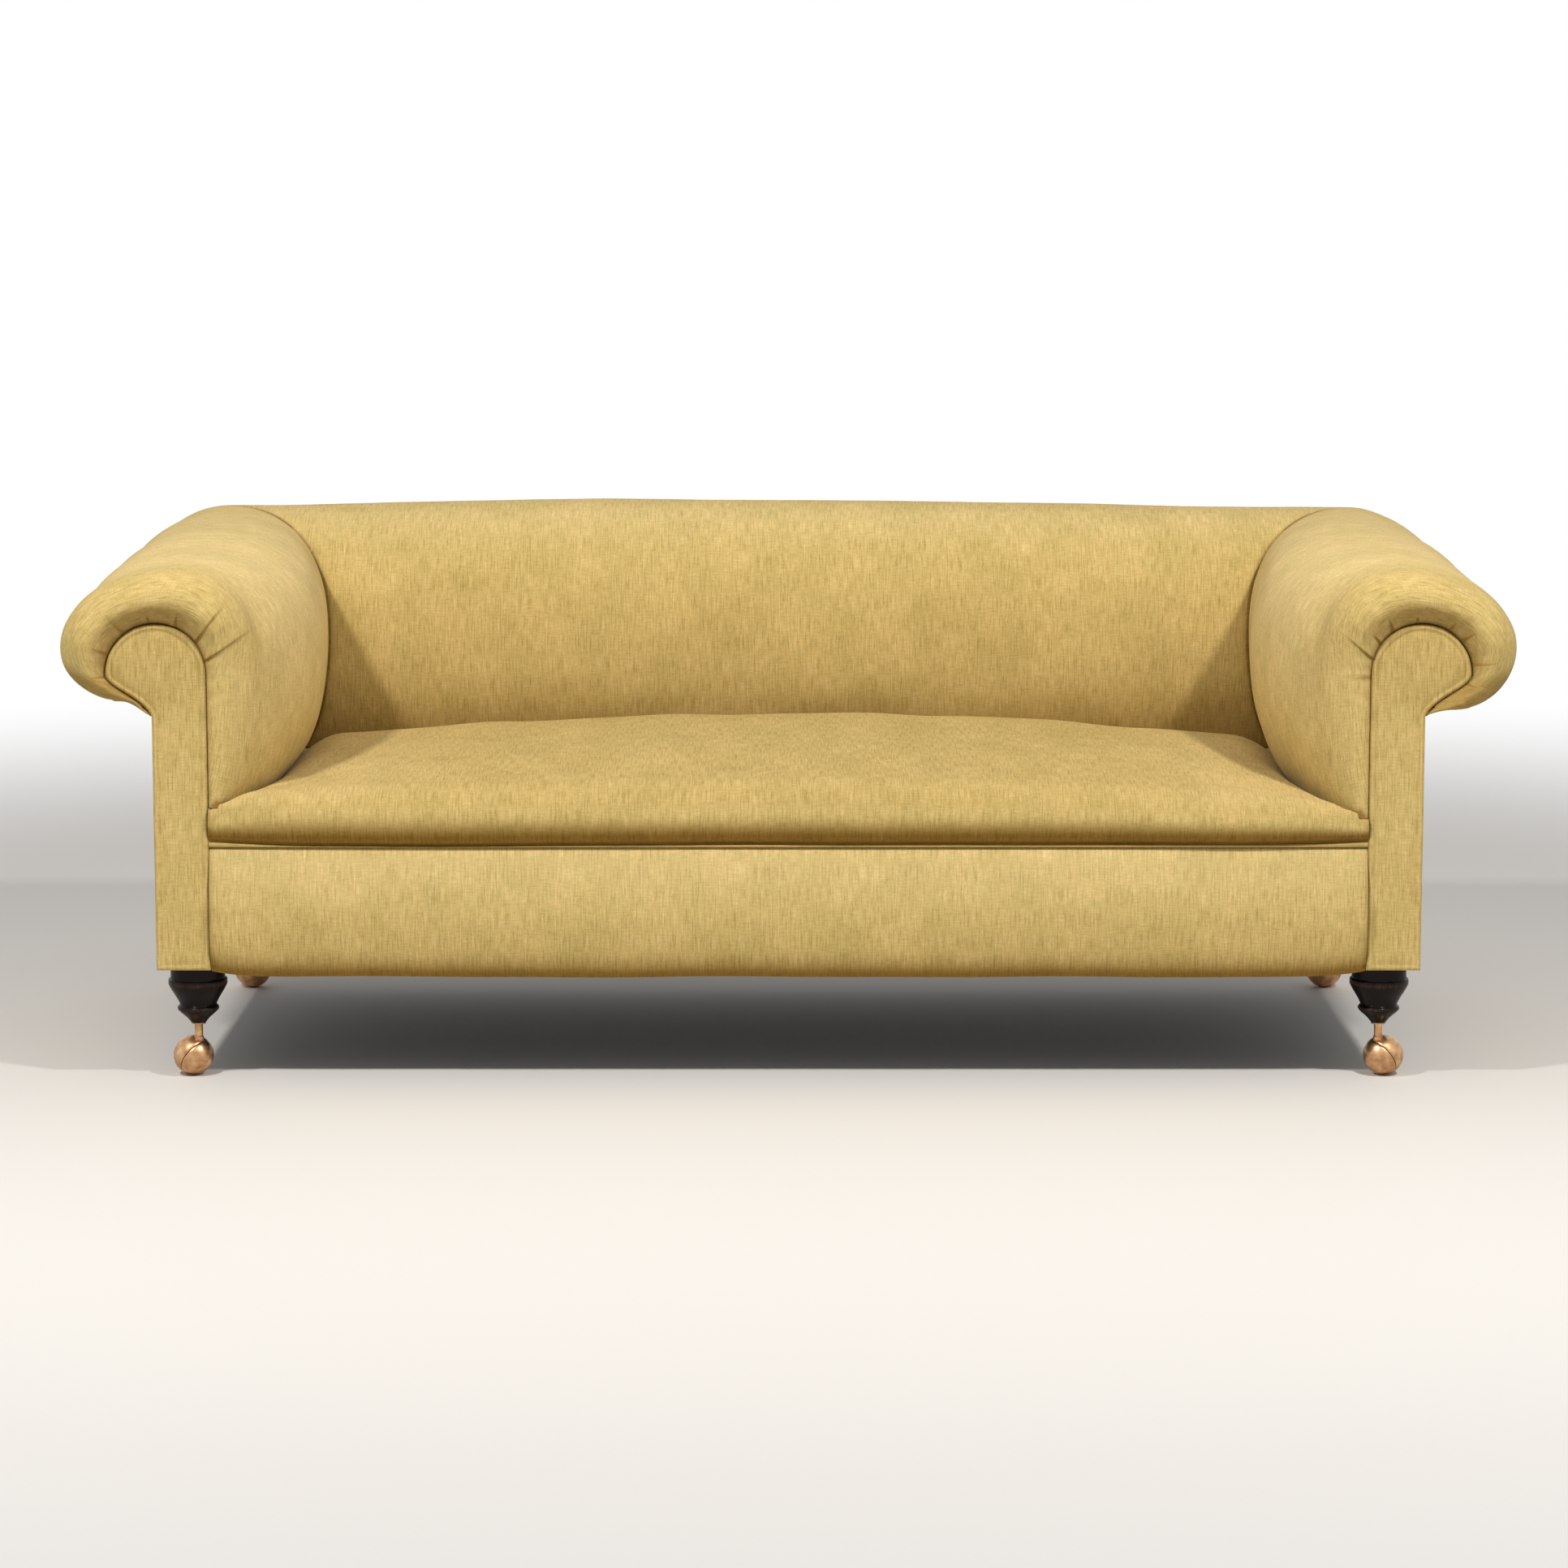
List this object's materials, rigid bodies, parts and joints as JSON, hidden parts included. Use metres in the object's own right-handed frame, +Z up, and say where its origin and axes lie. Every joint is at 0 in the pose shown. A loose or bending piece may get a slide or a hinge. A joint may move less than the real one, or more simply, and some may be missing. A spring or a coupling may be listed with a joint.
{
  "type": "chesterfield sofa",
  "caption": "Chesterfield sofa with rolled arms and back at one height, scroll facings, sprung seat, plain fabric, and turned legs on swivelling ball castors.",
  "frame": {"origin": "on the floor, under the middle of the sofa's outline", "axes": "+X along the sofa to its right as seen from the front, -Y the way the seat faces, +Z up"},
  "size_m": [1.928, 0.8694, 0.724],
  "materials": {
    "sage_chenille": "plain chenille with fine slubs, sage green under warm light",
    "beech": "sawn, unfinished",
    "ebonised_wood": "turned, black and glossy",
    "copper_brass": "coppered brass, worn bright",
    "jute_webbing": "woven jute straps",
    "spring_steel": "coppered spring wire",
    "hessian": "open woven hessian",
    "black_cambric": "black dust cloth"
  },
  "bodies": {
    "sofa": {"arm_pad_left": "sage_chenille", "arm_pad_right": "sage_chenille", "arm_tacking_rail_left": "beech", "arm_tacking_rail_right": "beech", "arm_top_rail_left": "beech", "arm_top_rail_right": "beech", "back_pad": "sage_chenille", "back_post_left": "beech", "back_post_right": "beech", "back_rail": "beech", "back_tacking_rail": "beech", "back_top_rail": "beech", "back_webbing": "jute_webbing", "castor_socket_front_left": "copper_brass", "castor_socket_front_right": "copper_brass", "castor_socket_rear_left": "copper_brass", "castor_socket_rear_right": "copper_brass", "corner_block_front_left": "beech", "corner_block_front_right": "beech", "corner_block_rear_left": "beech", "corner_block_rear_right": "beech", "dust_cover": "black_cambric", "facing_left": "sage_chenille", "facing_right": "sage_chenille", "front_border": "sage_chenille", "front_post_left": "beech", "front_post_right": "beech", "front_rail": "beech", "leg_front_left": "ebonised_wood", "leg_front_right": "ebonised_wood", "leg_rear_left": "ebonised_wood", "leg_rear_right": "ebonised_wood", "outside_arm_left": "sage_chenille", "outside_arm_right": "sage_chenille", "outside_back": "sage_chenille", "seat_cross_rail": "beech", "seat_hessian": "hessian", "seat_pad": "sage_chenille", "seat_piping": "sage_chenille", "seat_springs": "spring_steel", "seat_webbing": "jute_webbing", "side_rail_left": "beech", "side_rail_right": "beech"},
    "castor_front_left": {"castor_stem_front_left": "copper_brass", "castor_hood_front_left": "copper_brass", "castor_axle_front_left": "copper_brass"},
    "wheel_front_left": {"castor_wheel_front_left": "copper_brass"},
    "castor_front_right": {"castor_stem_front_right": "copper_brass", "castor_hood_front_right": "copper_brass", "castor_axle_front_right": "copper_brass"},
    "wheel_front_right": {"castor_wheel_front_right": "copper_brass"},
    "castor_rear_left": {"castor_stem_rear_left": "copper_brass", "castor_hood_rear_left": "copper_brass", "castor_axle_rear_left": "copper_brass"},
    "wheel_rear_left": {"castor_wheel_rear_left": "copper_brass"},
    "castor_rear_right": {"castor_stem_rear_right": "copper_brass", "castor_hood_rear_right": "copper_brass", "castor_axle_rear_right": "copper_brass"},
    "wheel_rear_right": {"castor_wheel_rear_right": "copper_brass"}
  },
  "joints": [
    {"name": "swivel_front_left", "type": "hinge", "parent": "sofa", "child": "castor_front_left", "pos_m": [-0.793, -0.36975, 0.073], "axis": [0, 0, 1], "continuous": true},
    {"name": "roll_front_left", "type": "hinge", "parent": "castor_front_left", "child": "wheel_front_left", "pos_m": [-0.80119, -0.36401, 0.02697], "axis": [0.6947, -0.4864, -0.5299], "continuous": true},
    {"name": "swivel_front_right", "type": "hinge", "parent": "sofa", "child": "castor_front_right", "pos_m": [0.793, -0.36975, 0.073], "axis": [0, 0, 1], "continuous": true},
    {"name": "roll_front_right", "type": "hinge", "parent": "castor_front_right", "child": "wheel_front_right", "pos_m": [0.80119, -0.36401, 0.02697], "axis": [-0.6947, -0.4864, -0.5299], "continuous": true},
    {"name": "swivel_rear_left", "type": "hinge", "parent": "sofa", "child": "castor_rear_left", "pos_m": [-0.793, 0.26725, 0.073], "axis": [0, 0, 1], "continuous": true},
    {"name": "roll_rear_left", "type": "hinge", "parent": "castor_rear_left", "child": "wheel_rear_left", "pos_m": [-0.798, 0.27591, 0.02697], "axis": [0.424, -0.7344, -0.5299], "continuous": true},
    {"name": "swivel_rear_right", "type": "hinge", "parent": "sofa", "child": "castor_rear_right", "pos_m": [0.793, 0.26725, 0.073], "axis": [0, 0, 1], "continuous": true},
    {"name": "roll_rear_right", "type": "hinge", "parent": "castor_rear_right", "child": "wheel_rear_right", "pos_m": [0.798, 0.27591, 0.02697], "axis": [-0.424, -0.7344, -0.5299], "continuous": true}
  ]
}
